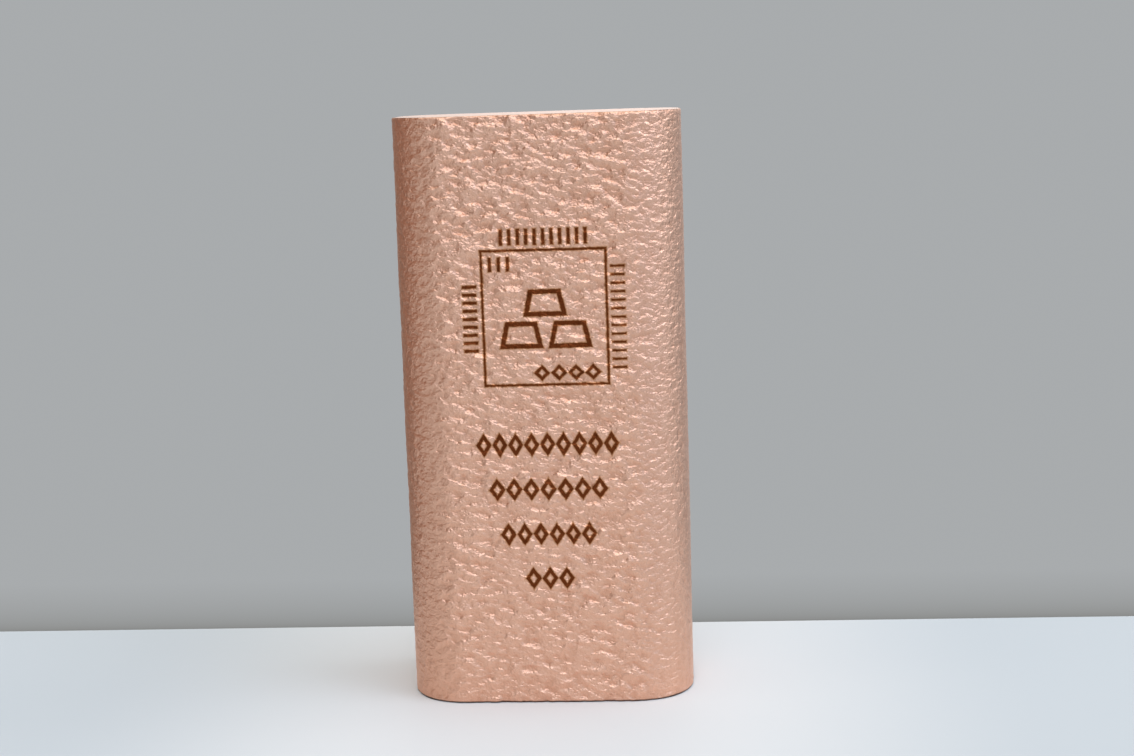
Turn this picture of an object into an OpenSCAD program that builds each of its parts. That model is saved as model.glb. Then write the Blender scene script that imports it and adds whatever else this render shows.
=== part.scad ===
// Ten-pound copper ingot: one length sawn from cast bar with rounded long edges.
// It stands on a sawn end. Millimetres, +Z along the bar.
// The origin is the middle of the lower end.

/* [Bar section] */
// Width across a broad face, from round edge to round edge
bar_width = 76.2; // [60:0.1:110]
// Thickness, from one broad face to the other
bar_thickness = 46; // [38:1:70]
// Radius of the four long edges
long_edge_radius = 16.5; // [4:0.5:18.5]

/* [Sawn length] */
// Length between the two sawn ends
cut_length = 155; // [60:0.5:320]
// Width of the small bevel that deburring leaves round each sawn end
end_bevel = 0.6; // [0.2:0.1:2]

/* [Hidden] */
copper = [0.78, 0.56, 0.45];
round_sides = 96;

// The axes of the four long edges stand at plus and minus these
edge_x = bar_width / 2 - long_edge_radius;
edge_y = bar_thickness / 2 - long_edge_radius;

// Heights at which the bevels end
lower_bevel_z = end_bevel;
upper_bevel_z = cut_length - end_bevel;

// Outline of a lengthwise cut that reaches `reach` from the middle, with both ends bevelled
function right_side(reach) = [
    [reach - end_bevel, 0],
    [reach, lower_bevel_z],
    [reach, upper_bevel_z],
    [reach - end_bevel, cut_length]
];
function left_side(reach) = [for (i = [3:-1:0]) [-right_side(reach)[i][0], right_side(reach)[i][1]]];

// A slab that is `width` wide and `depth` deep, bevelled where it faces +X and -X
module bevelled_slab(width, depth) {
    rotate([90, 0, 0])
        linear_extrude(height = depth, center = true)
            polygon(concat(right_side(width / 2), left_side(width / 2)));
}

// One rounded long edge of the bar, bevelled at both ends
module long_edge() {
    rotate_extrude($fn = round_sides)
        polygon(concat([[0, 0]], right_side(long_edge_radius), [[0, cut_length]]));
}

module ingot() {
    color(copper)
        union() {
            bevelled_slab(bar_width, 2 * edge_y);
            rotate([0, 0, 90])
                bevelled_slab(bar_thickness, 2 * edge_x);
            for (x = [-edge_x, edge_x], y = [-edge_y, edge_y])
                translate([x, y, 0])
                    long_edge();
        }
}

ingot();
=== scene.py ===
# Copper ingot: one length of cast bar, hammered skin, sawn ends, etched marks on one face
import math

import bmesh
import bpy
from mathutils import Matrix, Vector, noise


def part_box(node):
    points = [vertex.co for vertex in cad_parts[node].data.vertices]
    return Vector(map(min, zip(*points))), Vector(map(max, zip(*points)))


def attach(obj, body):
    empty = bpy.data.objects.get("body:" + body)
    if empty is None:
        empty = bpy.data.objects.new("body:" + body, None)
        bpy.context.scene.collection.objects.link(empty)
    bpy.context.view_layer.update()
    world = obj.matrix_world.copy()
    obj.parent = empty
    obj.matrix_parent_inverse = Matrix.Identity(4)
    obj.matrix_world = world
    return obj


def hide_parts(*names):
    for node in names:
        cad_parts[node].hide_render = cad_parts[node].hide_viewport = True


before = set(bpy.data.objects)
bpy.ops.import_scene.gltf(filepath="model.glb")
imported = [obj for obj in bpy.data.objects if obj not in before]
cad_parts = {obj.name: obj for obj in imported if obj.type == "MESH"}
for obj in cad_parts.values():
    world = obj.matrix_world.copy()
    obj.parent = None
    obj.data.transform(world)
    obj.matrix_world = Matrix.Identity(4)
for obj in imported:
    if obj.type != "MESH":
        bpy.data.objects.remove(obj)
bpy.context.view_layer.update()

mm = 0.001
tiny = 0.01 * mm      # two heights or widths this close are the same
low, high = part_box("ingot")

# the view: a camera on a low tripod, a little to the right of the bar
view = {
    "place": (40.7 * mm, -513.2 * mm, 163.2 * mm),
    "pan": -3.92,      # degrees, to the left
    "tiltDown": 8.79,
    "roll": -1.88,
    "lens": 61.1,
    "sensor": 36.0,
}


def makeCamera(spec):
    data = bpy.data.cameras.new("camera")
    data.sensor_width = spec["sensor"]
    data.lens = spec["lens"]
    data.clip_start = 0.01
    data.clip_end = 50.0
    camera = bpy.data.objects.new("camera", data)
    bpy.context.collection.objects.link(camera)
    aim = Matrix.Rotation(math.radians(-spec["pan"]), 4, "Z")
    aim = aim @ Matrix.Rotation(math.radians(90.0 - spec["tiltDown"]), 4, "X")
    aim = aim @ Matrix.Rotation(math.radians(spec["roll"]), 4, "Z")
    camera.matrix_world = Matrix.Translation(spec["place"]) @ aim
    bpy.context.scene.camera = camera
    print("camera ready")


# small helpers for node trees
def addNode(tree, kind, **settings):
    node = tree.nodes.new(kind)
    for name, value in settings.items():
        setattr(node, name, value)
    return node


def plug(tree, source, target):
    if isinstance(source, (int, float)):
        target.default_value = source
    else:
        tree.links.new(source, target)


def mathNode(tree, operation, first, second=None, third=None):
    node = addNode(tree, "ShaderNodeMath", operation=operation)
    for socket, value in zip(node.inputs, (first, second, third)):
        if value is not None:
            plug(tree, value, socket)
    return node.outputs[0]


def ramp(tree, value, fromLow, fromHigh, toLow=0.0, toHigh=1.0, smooth=True):
    node = addNode(tree, "ShaderNodeMapRange", clamp=True)
    node.interpolation_type = "SMOOTHSTEP" if smooth else "LINEAR"
    plug(tree, value, node.inputs["Value"])
    ends = {"From Min": fromLow, "From Max": fromHigh, "To Min": toLow, "To Max": toHigh}
    for name, number in ends.items():
        node.inputs[name].default_value = number
    return node.outputs["Result"]


def mixColour(tree, share, first, second):
    node = addNode(tree, "ShaderNodeMix", data_type="RGBA")
    plug(tree, share, node.inputs["Factor"])
    for socket, colour in ((node.inputs[6], first), (node.inputs[7], second)):
        if isinstance(colour, tuple):
            socket.default_value = (*colour, 1.0)
        else:
            tree.links.new(colour, socket)
    return node.outputs[2]


def splitVector(tree, vector):
    node = addNode(tree, "ShaderNodeSeparateXYZ")
    tree.links.new(vector, node.inputs[0])
    return node.outputs["X"], node.outputs["Y"], node.outputs["Z"]


def addVectors(tree, first, second):
    node = addNode(tree, "ShaderNodeVectorMath", operation="ADD")
    tree.links.new(first, node.inputs[0])
    tree.links.new(second, node.inputs[1])
    return node.outputs[0]


def bumped(tree, height, distance, shader):
    bump = addNode(tree, "ShaderNodeBump")
    bump.inputs["Strength"].default_value = 1.0
    bump.inputs["Distance"].default_value = distance
    tree.links.new(height, bump.inputs["Height"])
    tree.links.new(bump.outputs["Normal"], shader.inputs["Normal"])


def noiseAt(tree, place, scale, detail=2.0, rough=0.5):
    node = addNode(tree, "ShaderNodeTexNoise", noise_dimensions="3D")
    tree.links.new(place, node.inputs["Vector"])
    node.inputs["Scale"].default_value = scale
    node.inputs["Detail"].default_value = detail
    node.inputs["Roughness"].default_value = rough
    return node.outputs["Fac"]


# slides a pattern up or down by a broad noise, so one side of each bump turns steeper
def ledged(tree, place, amount):
    first = noiseAt(tree, place, 1.0, detail=0.0)
    centred = mathNode(tree, "SUBTRACT", 0.5, first)
    drop = addNode(tree, "ShaderNodeCombineXYZ")
    tree.links.new(mathNode(tree, "MULTIPLY", centred, 2.0 * amount), drop.inputs["Z"])
    return addVectors(tree, place, drop.outputs[0])


def placed(tree, source, turn=(0, 0, 0), scale=(1, 1, 1)):
    node = addNode(tree, "ShaderNodeMapping", vector_type="POINT")
    tree.links.new(source, node.inputs["Vector"])
    node.inputs["Rotation"].default_value = [math.radians(angle) for angle in turn]
    node.inputs["Scale"].default_value = scale
    return node.outputs["Vector"]


def newMaterial(name):
    material = bpy.data.materials.new(name)
    material.use_nodes = True
    tree = material.node_tree
    tree.nodes.clear()
    shader = addNode(tree, "ShaderNodeBsdfPrincipled")
    output = addNode(tree, "ShaderNodeOutputMaterial")
    tree.links.new(shader.outputs[0], output.inputs["Surface"])
    return material, tree, shader


# the marks burnt into the face at -Y, in mm from the middle of the bar and up from its foot
etching = {
    "frame": {"x": 1.9, "z": 103.0, "wide": 32.7, "tall": 35.6, "stroke": 0.60},
    "bars": {"x": 1.95, "z": 102.7, "wide": 9.8, "tall": 7.0, "taper": 0.22, "gap": 1.3, "stroke": 1.2},
    "ticks": [
        {"x": 2.0, "z": 123.9, "count": 11, "wide": 22.6, "tall": 4.2, "stroke": 0.85},
        {"x": -9.65, "z": 117.0, "count": 3, "wide": 5.5, "tall": 3.7, "stroke": 0.85},
    ],
    "sideTicks": [
        {"x": -17.5, "z": 103.0, "count": 9, "wide": 17.5, "tall": 3.7, "stroke": 0.80},
        {"x": 20.9, "z": 102.8, "count": 13, "wide": 26.8, "tall": 3.7, "stroke": 0.58},
    ],
    "diamonds": [
        {"x": 7.3, "z": 88.6, "count": 4, "wide": 17.7, "tall": 4.2, "stroke": 0.80},
        {"x": 1.45, "z": 69.8, "count": 9, "wide": 37.5, "tall": 6.4, "stroke": 0.95},
        {"x": 1.3, "z": 57.9, "count": 7, "wide": 31.4, "tall": 6.0, "stroke": 0.95},
        {"x": 1.05, "z": 45.9, "count": 6, "wide": 25.5, "tall": 6.0, "stroke": 0.95},
        {"x": 1.0, "z": 34.0, "count": 3, "wide": 13.2, "tall": 6.0, "stroke": 0.95},
    ],
    "diamondShare": 0.96,      # of its pitch that each diamond fills
    "wobble": 0.22,            # how far the burnt lines stray
    "wobbleScale": 0.9,
    "core": (0.10, -0.14),     # the burn goes from nothing to full between these depths into a line
    "halo": (0.42, -0.05),     # and the browned edge round it
    "faceFrom": 10.0,          # only on the side past this distance towards -Y
}


# each shape gives how far a point is outside its lines, less than nothing inside them
def farther(tree, *values):
    result = values[0]
    for value in values[1:]:
        result = mathNode(tree, "MAXIMUM", result, value)
    return result


def boxReach(tree, along, tall, wide, height):
    sideways = mathNode(tree, "SUBTRACT", mathNode(tree, "ABSOLUTE", along), wide / 2)
    upward = mathNode(tree, "SUBTRACT", mathNode(tree, "ABSOLUTE", tall), height / 2)
    return sideways, upward


def outlined(tree, reach, stroke):
    middle = mathNode(tree, "ADD", reach, stroke / 2)
    return mathNode(tree, "SUBTRACT", mathNode(tree, "ABSOLUTE", middle), stroke / 2)


def repeated(tree, along, count, pitch):
    shift = 0.0 if count % 2 else pitch / 2
    return mathNode(tree, "PINGPONG", mathNode(tree, "ADD", along, shift), pitch / 2)


def frameMark(tree, along, tall, spec):
    sideways, upward = boxReach(tree, along, tall, spec["wide"], spec["tall"])
    return outlined(tree, farther(tree, sideways, upward), spec["stroke"])


def tickMark(tree, along, tall, spec):
    pitch = (spec["wide"] - spec["stroke"]) / (spec["count"] - 1)
    sideways, upward = boxReach(tree, along, tall, spec["wide"], spec["tall"])
    line = mathNode(tree, "SUBTRACT", repeated(tree, along, spec["count"], pitch), spec["stroke"] / 2)
    return farther(tree, line, upward, sideways)


def diamondMark(tree, along, tall, spec):
    pitch = spec["wide"] / spec["count"]
    half = pitch * etching["diamondShare"] / 2
    sideways, upward = boxReach(tree, along, tall, spec["wide"], spec["tall"])
    across = mathNode(tree, "DIVIDE", repeated(tree, along, spec["count"], pitch), half)
    height = mathNode(tree, "DIVIDE", mathNode(tree, "ABSOLUTE", tall), spec["tall"] / 2)
    level = mathNode(tree, "SUBTRACT", mathNode(tree, "ADD", across, height), 1.0)
    slope = 1.0 / math.hypot(1.0 / half, 2.0 / spec["tall"])
    edge = outlined(tree, mathNode(tree, "MULTIPLY", level, slope), spec["stroke"])
    return farther(tree, edge, sideways)


def barOutline(tree, along, tall, spec):
    sideways, upward = boxReach(tree, along, tall, spec["wide"], spec["tall"])
    slanted = mathNode(tree, "MULTIPLY_ADD", tall, spec["taper"], sideways)
    slanted = mathNode(tree, "MULTIPLY", slanted, 1.0 / math.hypot(1.0, spec["taper"]))
    return outlined(tree, farther(tree, slanted, upward), spec["stroke"])


def barStackMark(tree, along, tall, spec):
    rise = (spec["tall"] + spec["gap"]) / 2
    reach = (spec["wide"] + 2 * spec["taper"] * spec["tall"] / 2 + spec["gap"]) / 2
    top = barOutline(tree, along, mathNode(tree, "SUBTRACT", tall, rise), spec)
    beside = mathNode(tree, "SUBTRACT", mathNode(tree, "ABSOLUTE", along), reach)
    bottom = barOutline(tree, beside, mathNode(tree, "ADD", tall, rise), spec)
    return mathNode(tree, "MINIMUM", top, bottom)


def etchedShares(tree, coords, spec):
    size = placed(tree, coords, scale=(1 / mm, 1 / mm, 1 / mm))
    across, depth, up = splitVector(tree, size)
    marks = [(frameMark, spec["frame"], False), (barStackMark, spec["bars"], False)]
    marks += [(tickMark, row, False) for row in spec["ticks"]]
    marks += [(tickMark, row, True) for row in spec["sideTicks"]]
    marks += [(diamondMark, row, False) for row in spec["diamonds"]]
    nearest = None
    for shape, row, upright in marks:
        along = mathNode(tree, "SUBTRACT", across, row["x"])
        tall = mathNode(tree, "SUBTRACT", up, row["z"])
        if upright:
            along, tall = tall, along
        reach = shape(tree, along, tall, row)
        nearest = reach if nearest is None else mathNode(tree, "MINIMUM", nearest, reach)
    stray = mathNode(tree, "SUBTRACT", noiseAt(tree, size, spec["wobbleScale"]), 0.5)
    nearest = mathNode(tree, "MULTIPLY_ADD", stray, spec["wobble"] * 2, nearest)
    onFace = ramp(tree, depth, -spec["faceFrom"] - 1.0, -spec["faceFrom"], 1.0, 0.0)
    shares = []
    for outer, inner in (spec["core"], spec["halo"]):
        shares.append(mathNode(tree, "MULTIPLY", ramp(tree, nearest, inner, outer, 1.0, 0.0), onFace))
    return shares


castCopper = {
    "skin": (0.82, 0.48, 0.337),
    # painted shade: the darker colour the copper takes in the hollows of the relief and the dips of the
    # ripple
    "hollow": (0.70, 0.37, 0.245),
    "hollowFrom": 0.35,        # how deep a hollow is when its painted shade starts, 0 to 1
    "hollowTo": 0.95,
    "hollowRipple": 0.8,       # how much the ripple counts as a hollow
    "etched": (0.15, 0.036, 0.010),
    "etchedEdge": (0.50, 0.22, 0.09),
    "roughness": 0.385,
    "roundRoughness": 0.44,    # on the round edges
    "roughnessSpread": 0.06,   # how far the grain moves it
    "lean": -18.0,             # degrees, as the skin's wrinkles
    "rippleSize": (1.8 * mm, 1.8 * mm, 1.35 * mm),
    "rippleDepth": 0.80 * mm,
    "rippleLedge": 0.4,
    "rippleRough": 0.45,
    "grainSize": 0.60 * mm,
    "grainDepth": 0.17 * mm,
    "grainRange": (0.3, 0.7),  # from the grain's low spots to its high ones
    "roundFrom": 20.0 * mm,    # the round edges start this far out from the middle
    "roundTo": 29.0 * mm,
    "roundRipple": 0.8,        # the share of the ripple's depth that they keep
    "footRipple": 0.70,        # and the share that is left at the foot
    "paintedFootShade": (0.10, 0.05, 0.035),     # painted shade in the gap under the lower rim: a dark line along the foot that stands in for the contact shadow
    "footShadeSpan": (0.18 * mm, 0.72 * mm), # it fades out between these heights
}


def onRoundEdges(tree, coords, spec, onFlats, onEdges):
    sideways = mathNode(tree, "ABSOLUTE", splitVector(tree, coords)[0])
    return ramp(tree, sideways, spec["roundFrom"], spec["roundTo"], onFlats, onEdges)


def castSkinMaterial(spec, marks):
    material, tree, shader = newMaterial("castCopper")
    coords = addNode(tree, "ShaderNodeTexCoord").outputs["Object"]
    upward = splitVector(tree, coords)[2]
    perMetre = [1 / size for size in spec["rippleSize"]]
    ripple = placed(tree, coords, turn=(0, spec["lean"], 0), scale=perMetre)
    ripple = noiseAt(tree, ledged(tree, ripple, spec["rippleLedge"]), 1.0, rough=spec["rippleRough"])
    grain = noiseAt(tree, coords, 1 / spec["grainSize"], detail=1.0)
    onEdges = spec["rippleDepth"] * spec["roundRipple"]
    rippleDepth = onRoundEdges(tree, coords, spec, spec["rippleDepth"], onEdges)
    calm = ramp(tree, upward, low.z, high.z, spec["footRipple"], 1.0, smooth=False)
    height = mathNode(tree, "MULTIPLY", mathNode(tree, "MULTIPLY", ripple, rippleDepth), calm)
    bumped(tree, mathNode(tree, "MULTIPLY_ADD", grain, spec["grainDepth"], height), 1.0, shader)

    # painted shade in the hollows: the mesh's hollow depth and the ripple's dips darken the copper
    hollow = addNode(tree, "ShaderNodeAttribute", attribute_name="hollow").outputs["Fac"]
    dip = mathNode(tree, "SUBTRACT", 0.5, ripple)
    hollow = mathNode(tree, "MULTIPLY_ADD", dip, spec["hollowRipple"], hollow)
    hollowShade = ramp(tree, hollow, spec["hollowFrom"], spec["hollowTo"])
    colour = mixColour(tree, hollowShade, spec["skin"], spec["hollow"])
    core, halo = etchedShares(tree, coords, marks)
    colour = mixColour(tree, halo, colour, spec["etchedEdge"])
    colour = mixColour(tree, core, colour, spec["etched"])
    # painted shade: the copper turns dark just above the foot, standing in for the contact shadow under
    # the lower rim
    unshaded = ramp(tree, upward, *spec["footShadeSpan"])
    tree.links.new(mixColour(tree, unshaded, spec["paintedFootShade"], colour), shader.inputs["Base Color"])
    shader.inputs["Metallic"].default_value = 1.0
    spread = ramp(tree, grain, *spec["grainRange"], -spec["roughnessSpread"], spec["roughnessSpread"])
    rough = onRoundEdges(tree, coords, spec, spec["roughness"], spec["roundRoughness"])
    tree.links.new(mathNode(tree, "ADD", rough, spread), shader.inputs["Roughness"])
    return material


# the two sawn ends, with the blade's fine lines across them
sawnCopper = {
    "roughness": 0.32,
    "lineTurn": 4.0,                # degrees
    "lineScale": (60, 2600, 60),
    "lineDepth": 0.05 * mm,
}


def sawnEndMaterial(spec, copper):
    material, tree, shader = newMaterial("sawnCopper")
    coords = addNode(tree, "ShaderNodeTexCoord").outputs["Object"]
    lines = placed(tree, coords, turn=(0, 0, spec["lineTurn"]), scale=spec["lineScale"])
    lines = noiseAt(tree, lines, 1.0, detail=3.0)
    bumped(tree, lines, spec["lineDepth"], shader)
    tree.links.new(mixColour(tree, lines, copper["hollow"], copper["skin"]), shader.inputs["Base Color"])
    shader.inputs["Metallic"].default_value = 1.0
    shader.inputs["Roughness"].default_value = spec["roughness"]
    return material


# the bar's skin: mesh spacing and relief, in metres
barSkin = {
    "aroundCell": 0.8 * mm,    # mesh spacing round the bar
    "alongCell": 0.5 * mm,     # and along it
    "rimBreak": 0.5 * mm,      # the bevel between the sides and the sawn ends
    "weld": 0.02 * mm,         # points closer than this after the bevel become one
    "lean": -18.0,             # how far the wrinkles slope down to the right
    "wrinkleLong": 2.4 * mm,
    "wrinkleTall": 1.75 * mm,
    "wrinkleDepth": 1.10 * mm,
    "ledge": 0.3,              # makes the upper side of each wrinkle steeper
    "plateau": 0.9,            # flattens the tops and the bottoms
    "fineScale": 2.1,          # a finer wrinkle on top of the broad one
    "fineShift": (7.3, 2.9, 5.1),
    "fineShare": 0.7,
    "edgeCalm": 0.75,          # how much less the relief is off the two wide faces
    "edgeTurn": 1.8,           # how soon it gets there as the side turns away
    "footCalm": 0.30,          # and how much less at the foot of the bar
    "wanderLength": 30.0 * mm,
    "wanderDepth": 0.30 * mm,
    "fadeFrom": 6.0 * mm,      # on the ends the relief dies out this far in
    "fadeSteep": 1.5,
}


def isLevel(edge):
    return abs(edge.verts[0].co.z - edge.verts[1].co.z) < tiny


def splitEvenly(bm, edges, cell):
    length = max(edge.calc_length() for edge in edges)
    bmesh.ops.subdivide_edges(bm, edges=edges, cuts=round(length / cell) - 1)


def roundedBar(spec, radius):
    bm = bmesh.new()
    bmesh.ops.create_cube(bm, size=1.0)
    bmesh.ops.scale(bm, vec=high - low, verts=bm.verts)
    bmesh.ops.translate(bm, vec=(high + low) / 2, verts=bm.verts)
    ends = [face for face in bm.faces if abs(face.normal.z) > 0.5]
    bmesh.ops.delete(bm, geom=ends, context="FACES_ONLY")
    upright = [edge for edge in bm.edges if not isLevel(edge)]
    steps = round(radius * math.pi / 2 / spec["aroundCell"])
    bmesh.ops.bevel(bm, geom=upright, offset=radius, offset_type="OFFSET", segments=steps,
                    profile=0.5, affect="EDGES", material=-1)
    for direction in (0, 1):    # the bevel leaves the flats as single long edges
        flats = [edge for edge in bm.edges if isLevel(edge) and edge.calc_length() > 4 * spec["aroundCell"]
                 and abs(edge.verts[0].co[direction] - edge.verts[1].co[direction]) > mm]
        splitEvenly(bm, flats, spec["aroundCell"])
    splitEvenly(bm, [edge for edge in bm.edges if not isLevel(edge)], spec["alongCell"])
    turnOver = high.x - radius + radius * math.sqrt(0.5)    # halfway round each long edge
    for side in (1, -1):
        rim = [edge for edge in bm.edges if edge.is_boundary
               and (edge.verts[0].co.z - (low.z + high.z) / 2) * side > 0]
        sides = [edge for edge in rim if abs(edge.verts[0].co.x + edge.verts[1].co.x) / 2 > turnOver]
        bmesh.ops.grid_fill(bm, edges=sides, mat_nr=1, use_smooth=True, use_interp_simple=False)
    rims = [edge for edge in bm.edges if edge.is_manifold
            and edge.link_faces[0].material_index != edge.link_faces[1].material_index]
    bmesh.ops.bevel(bm, geom=rims, offset=spec["rimBreak"], offset_type="OFFSET", segments=2,
                    profile=0.5, affect="EDGES", material=0)
    bmesh.ops.remove_doubles(bm, verts=bm.verts, dist=spec["weld"])
    return bm


def clampTo(value, limit):
    return max(-limit, min(limit, value))


def wrinkleAt(grid, spec):
    first = noise.noise(grid)
    steeper = Vector((grid.x, grid.y, grid.z - spec["ledge"] * first))
    broad = noise.noise(steeper)
    fine = noise.noise(steeper * spec["fineScale"] + Vector(spec["fineShift"]))
    return math.tanh(spec["plateau"] * (broad + spec["fineShare"] * fine)) / math.tanh(spec["plateau"])


def wrinkleHollow(place, outward, spec, lean):
    slanted = lean @ place
    grid = Vector((slanted.x / spec["wrinkleLong"], slanted.y / spec["wrinkleLong"],
                   slanted.z / spec["wrinkleTall"]))
    calm = 1.0 - spec["edgeCalm"] * min(1.0, spec["edgeTurn"] * abs(outward.x))
    calm *= 1.0 - spec["footCalm"] * (high.z - place.z) / (high.z - low.z)
    return 0.5 - 0.5 * wrinkleAt(grid, spec), calm


def sinkSkin(bm, spec, radius):
    hollowLayer = bm.verts.layers.float.new("hollow")
    coreX = high.x - radius
    coreY = high.y - radius
    lean = Matrix.Rotation(math.radians(spec["lean"]), 3, "Y")
    for vert in bm.verts:
        core = Vector((clampTo(vert.co.x, coreX), clampTo(vert.co.y, coreY), vert.co.z))
        outward = vert.co - core
        reach = outward.length
        share = (reach - (radius - spec["fadeFrom"])) / spec["fadeFrom"]
        if share <= 0.0:
            continue
        outward.normalize()
        share = min(1.0, spec["fadeSteep"] * share)
        place = core + outward * radius
        hollow, calm = wrinkleHollow(place, outward, spec, lean)
        wander = 0.5 - 0.5 * noise.noise(place / spec["wanderLength"])
        vert.co -= outward * share * (spec["wrinkleDepth"] * calm * hollow + spec["wanderDepth"] * wander)
        # the hollow's depth, which the material turns into painted shade
        vert[hollowLayer] = 0.5 + (hollow - 0.5) * calm


def makeIngot(spec, materials):
    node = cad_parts["ingot"]
    flatHalf = max(v.co.x for v in node.data.vertices if v.co.y < low.y + tiny)
    radius = high.x - flatHalf
    bm = roundedBar(spec, radius)
    print("bar built:", len(bm.faces), "faces, edge radius", round(radius / mm, 2), "mm")
    sinkSkin(bm, spec, radius)
    for face in bm.faces:
        face.smooth = True
    mesh = bpy.data.meshes.new("ingot_skin")
    bm.to_mesh(mesh)
    bm.free()
    for material in materials:
        mesh.materials.append(material)
    ingot = bpy.data.objects.new("ingot_skin", mesh)
    bpy.context.collection.objects.link(ingot)
    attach(ingot, "root")
    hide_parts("ingot")
    print("skin relief done")


stageSet = {
    "floorBehind": 52 * mm,   # the table ends this far behind the bar
    "floorAhead": 2.6,
    "floorWide": 3.0,
    "floorNear": (0.718, 0.71, 0.696),
    # painted shade: the table darker away from the bar, as if less light reached it
    "floorFarShade": (0.575, 0.592, 0.60),
    "floorShadeFade": (40 * mm, 130 * mm),    # painted shade: how far to the side the pale table turns into the darker far colour
    "floorStretch": 0.3,                 # and a shorter share of the way to the front
    "floorRoughness": 0.7,
    "floorGloss": 0.2,
    "wallColour": (0.395, 0.410, 0.420),
    # painted shade: the darker colour at the foot of the wall, behind the bar
    "wallFoot": (0.215, 0.215, 0.205),
    "footTall": 15 * mm,                 # painted shade: the wall darkens over this height above the table
    "footCurve": 0.35,                   # fast at first, then slower
    "footWide": (0.85, 0.93),            # only on the stretch of wall behind the bar
    "leastAhead": 0.2,                   # keeps the slope finite to the sides
}


def makeFloor(spec):
    material, tree, shader = newMaterial("paleTable")
    coords = addNode(tree, "ShaderNodeTexCoord").outputs["Object"]
    away = addNode(tree, "ShaderNodeVectorMath", operation="LENGTH")
    tree.links.new(placed(tree, coords, scale=(1.0, spec["floorStretch"], 1.0)), away.inputs[0])
    # painted shade on the table, darker away from the bar
    farShade = ramp(tree, away.outputs["Value"], *spec["floorShadeFade"])
    tree.links.new(mixColour(tree, farShade, spec["floorNear"], spec["floorFarShade"]), shader.inputs["Base Color"])
    shader.inputs["Roughness"].default_value = spec["floorRoughness"]
    shader.inputs["Specular IOR Level"].default_value = spec["floorGloss"]
    mesh = bpy.data.meshes.new("floor")
    bm = bmesh.new()
    bmesh.ops.create_grid(bm, x_segments=1, y_segments=1, size=0.5)
    deep = spec["floorAhead"] + spec["floorBehind"]
    bmesh.ops.scale(bm, vec=(spec["floorWide"], deep, 1.0), verts=bm.verts)
    bmesh.ops.translate(bm, vec=(0, spec["floorBehind"] - deep / 2, 0), verts=bm.verts)
    bm.to_mesh(mesh)
    bm.free()
    mesh.materials.append(material)
    floor = bpy.data.objects.new("floor", mesh)
    bpy.context.collection.objects.link(floor)


# the wall's colour by height, as seen from the camera's place, with a painted shade darkening its foot
def wallShade(tree, toward, spec):
    _, ahead, upward = splitVector(tree, toward)
    slope = mathNode(tree, "DIVIDE", upward, mathNode(tree, "MAXIMUM", ahead, spec["leastAhead"]))
    distance = spec["floorBehind"] - view["place"][1]
    height = mathNode(tree, "ABSOLUTE", mathNode(tree, "MULTIPLY_ADD", slope, distance, view["place"][2]))
    rise = ramp(tree, height, 0.0, spec["footTall"], smooth=False)
    rise = mathNode(tree, "POWER", rise, spec["footCurve"])
    aside = ramp(tree, ahead, *reversed(spec["footWide"]))
    return mixColour(tree, mathNode(tree, "MAXIMUM", rise, aside), spec["wallFoot"], spec["wallColour"])


def glowTint(tree, toward, glow):
    facing = addNode(tree, "ShaderNodeVectorMath", operation="DOT_PRODUCT")
    tree.links.new(toward, facing.inputs[0])
    facing.inputs[1].default_value = Vector(glow["from"]).normalized()
    above = mathNode(tree, "MAXIMUM", facing.outputs["Value"], 0.0)
    tint = addNode(tree, "ShaderNodeVectorMath", operation="SCALE")
    tint.inputs[0].default_value = glow["colour"]
    tree.links.new(mathNode(tree, "POWER", above, glow["focus"]), tint.inputs["Scale"])
    return tint.outputs[0]


def makeWorld(spec, glows):
    world = bpy.data.worlds.new("studio")
    world.use_nodes = True
    tree = world.node_tree
    background = tree.nodes["Background"]
    toward = addNode(tree, "ShaderNodeTexCoord").outputs["Generated"]
    total = None
    for glow in glows.values():
        tint = glowTint(tree, toward, glow)
        total = tint if total is None else addVectors(tree, total, tint)
    seen = addNode(tree, "ShaderNodeLightPath").outputs["Is Camera Ray"]
    backdrop = wallShade(tree, toward, spec)
    tree.links.new(mixColour(tree, seen, total, backdrop), background.inputs["Color"])
    bpy.context.scene.world = world


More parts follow.
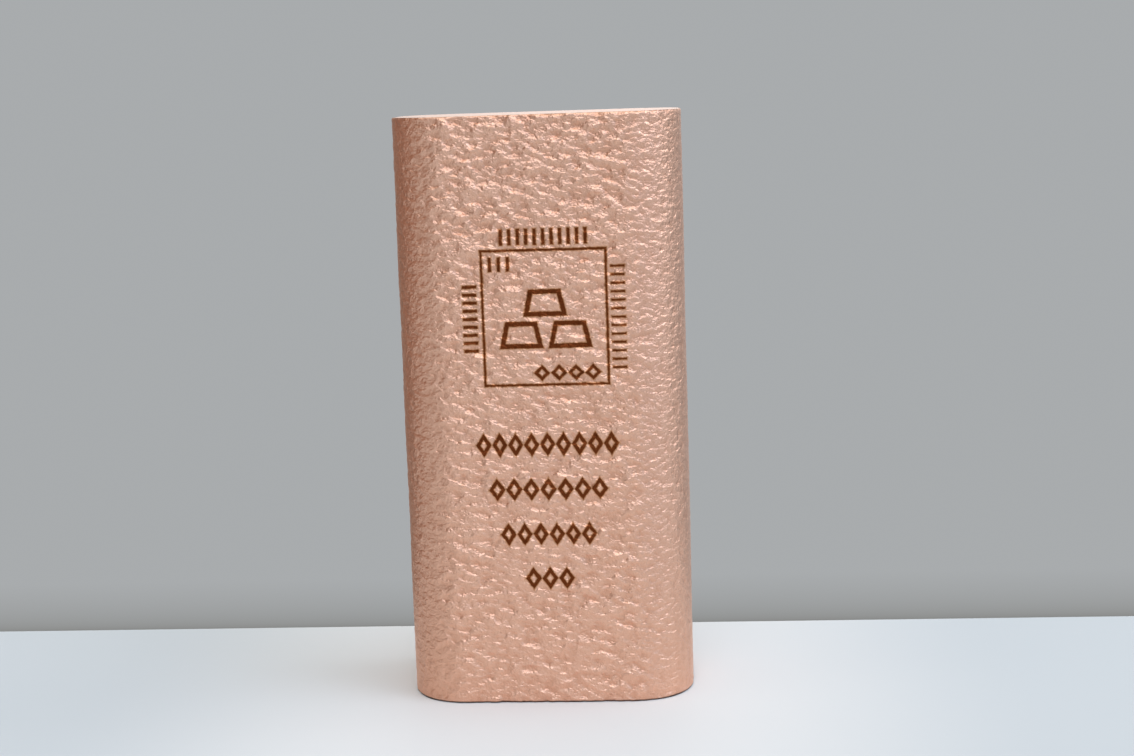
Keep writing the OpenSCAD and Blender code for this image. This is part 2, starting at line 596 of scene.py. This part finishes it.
# soft lights all round: where each comes from, how narrow it is, and its strength by colour
glows = {
    "ceiling": {"from": (0, 0, 1), "focus": 6.0, "colour": (1.75, 1.85, 1.80)},
    "ceilingFront": {"from": (0, -0.34, 0.94), "focus": 60.0, "colour": (1.10, 1.15, 1.20)},
    "frontHigh": {"from": (0, -0.64, 0.77), "focus": 40.0, "colour": (1.65, 1.78, 2.00)},
    "frontLow": {"from": (0, -0.87, 0.50), "focus": 22.0, "colour": (2.25, 2.55, 3.05)},
    "rightHigh": {"from": (0.60, -0.22, 0.77), "focus": 40.0, "colour": (2.05, 2.25, 2.50)},
    "rightFront": {"from": (0.75, -0.43, 0.50), "focus": 18.0, "colour": (2.40, 2.85, 3.70)},
    "rightBehind": {"from": (0.85, 0.15, 0.50), "focus": 30.0, "colour": (2.90, 3.15, 3.50)},
    "leftHigh": {"from": (-0.60, -0.22, 0.77), "focus": 40.0, "colour": (1.20, 1.12, 1.05)},
    "roomRight": {"from": (1, 0, 0.09), "focus": 6.0, "colour": (0.40, 0.47, 0.53)},
    "roomLeft": {"from": (-1, 0, 0.09), "focus": 6.0, "colour": (0.30, 0.13, 0.07)},
    "wallHigh": {"from": (0, 1, 0.30), "focus": 20.0, "colour": (1.34, 1.43, 1.47)},
    "wallLow": {"from": (0, 1, -0.15), "focus": 6.0, "colour": (0.36, 0.38, 0.39)},
    "wallRight": {"from": (0.78, 0.61, -0.15), "focus": 10.0, "colour": (0.30, 0.36, 0.41)},
    "behindLeft": {"from": (-0.60, 0.60, 0.53), "focus": 10.0, "colour": (0.32, 0.28, 0.26)},
    "behindRight": {"from": (0.60, 0.60, 0.53), "focus": 10.0, "colour": (0.34, 0.36, 0.38)},
    "wallFoot": {"from": (0, 0.86, -0.50), "focus": 12.0, "colour": (0.45, 0.46, 0.48)},
    "wallLeft": {"from": (-0.78, 0.61, -0.15), "focus": 10.0, "colour": (0.13, 0.10, 0.08)},
    "roomFront": {"from": (0, -1, 0.15), "focus": 10.0, "colour": (0.34, 0.34, 0.345)},
    "roomFrontLeft": {"from": (-0.75, -0.65, 0.05), "focus": 6.0, "colour": (0.24, 0.21, 0.19)},
}

makeCamera(view)
makeWorld(stageSet, glows)
makeFloor(stageSet)
bpy.context.scene.view_settings.view_transform = "Standard"
print("stage and lights ready")
makeIngot(barSkin, [castSkinMaterial(castCopper, etching), sawnEndMaterial(sawnCopper, castCopper)])
